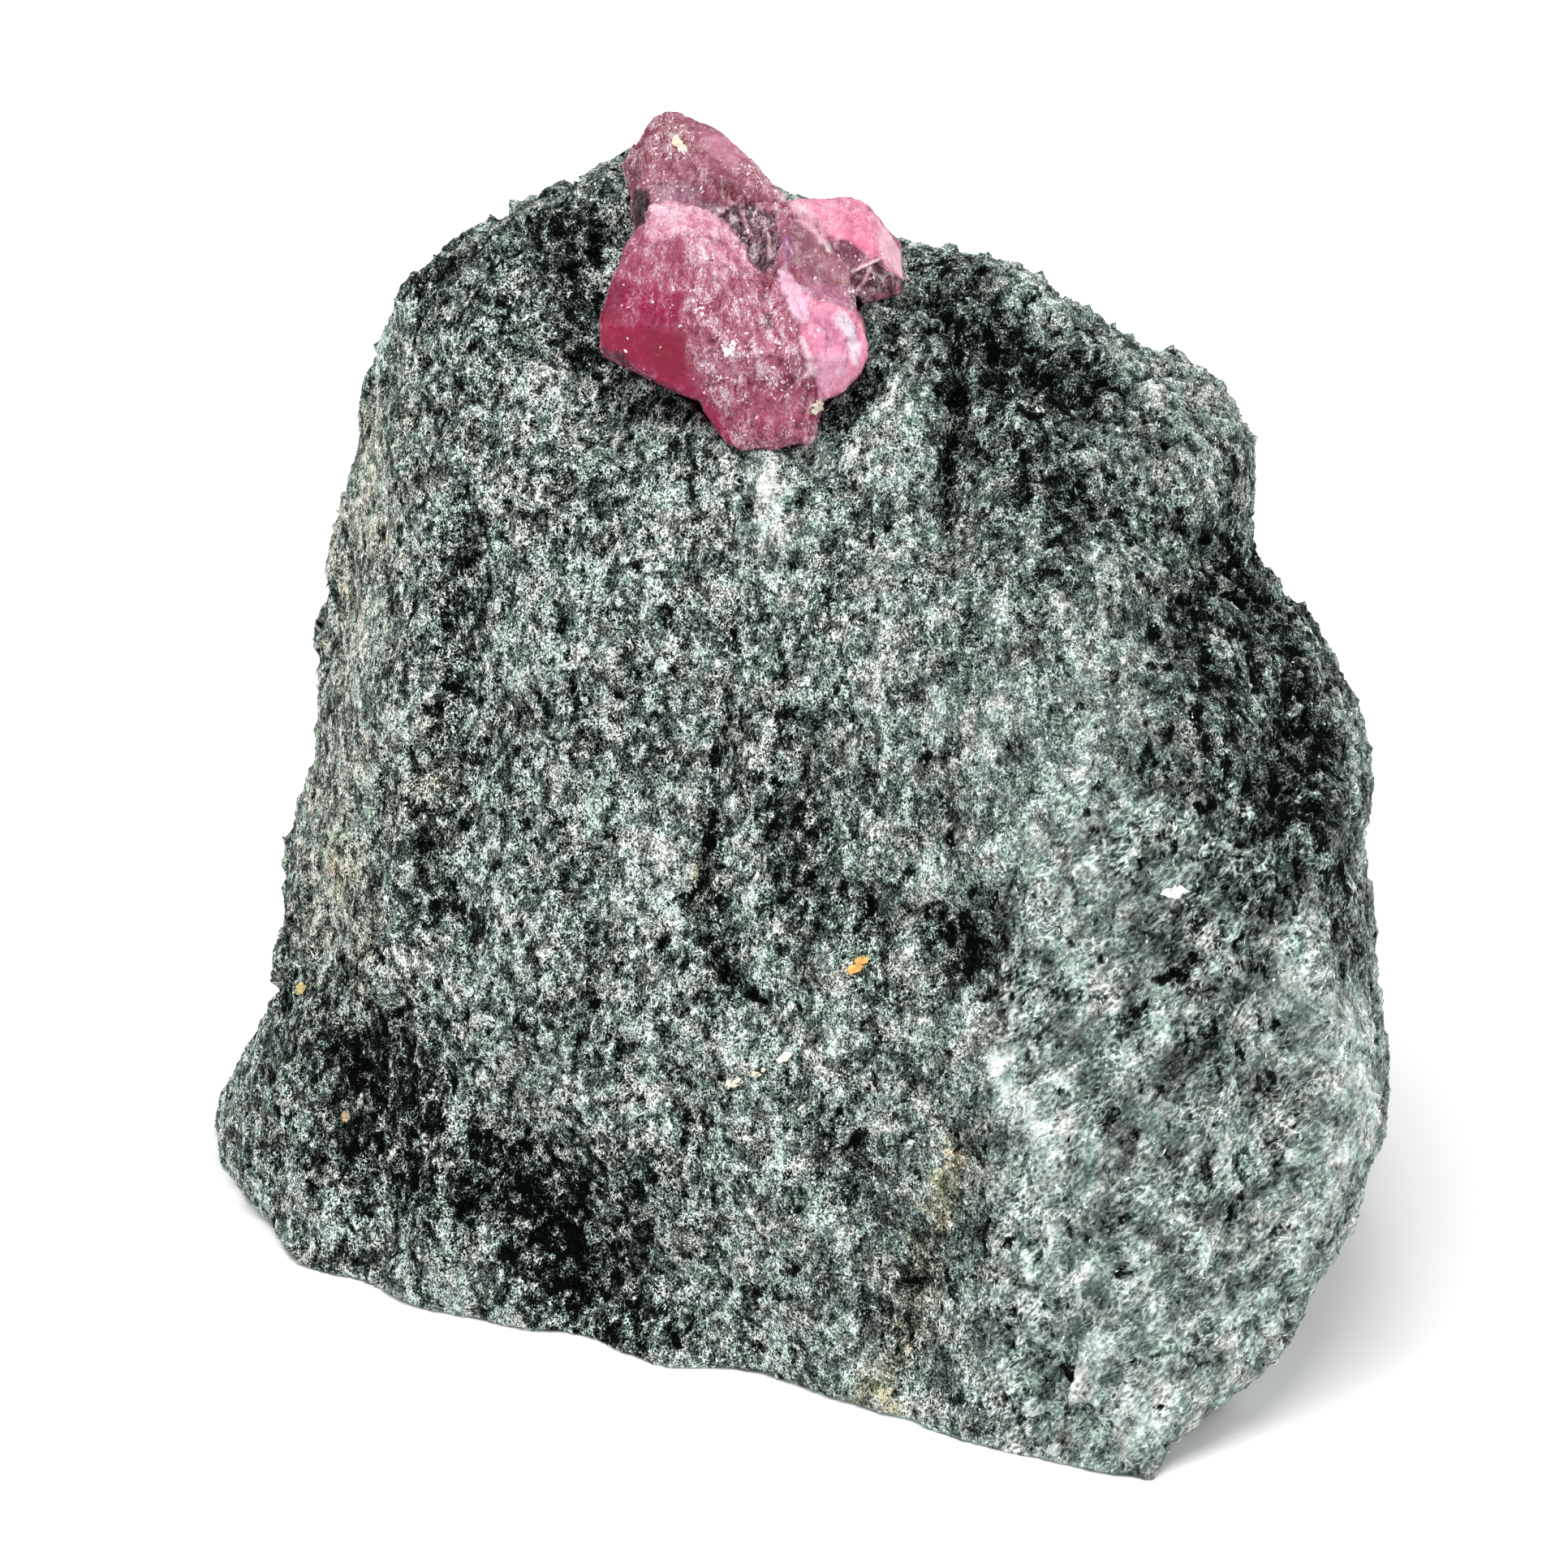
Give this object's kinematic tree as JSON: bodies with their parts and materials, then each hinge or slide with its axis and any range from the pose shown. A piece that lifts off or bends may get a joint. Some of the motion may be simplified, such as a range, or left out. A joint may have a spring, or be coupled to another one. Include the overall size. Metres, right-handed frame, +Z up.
{
  "type": "ruby crystal specimen",
  "caption": "Pink-red ruby crystal group in the top edge of a hand-sized block of dark grey-green mica schist, standing on its flat broken base.",
  "frame": {"origin": "middle of the bounding box, on the surface that the block stands on", "axes": "+Z up; -Y is the side that the broad face and the ruby are on, and the face leans back from it; +X to the right as that face is looked at"},
  "size_m": [0.0652, 0.0516, 0.0602],
  "materials": {
    "schist": "fine-grained mica schist, dark grey-green with pale and silvery flecks, rough broken surface",
    "ruby": "translucent pink-red corundum, glassy broken faces with rough, whitish flecked patches"
  },
  "bodies": {
    "root": {"matrix": "schist", "ruby": "ruby"}
  },
  "joints": []
}
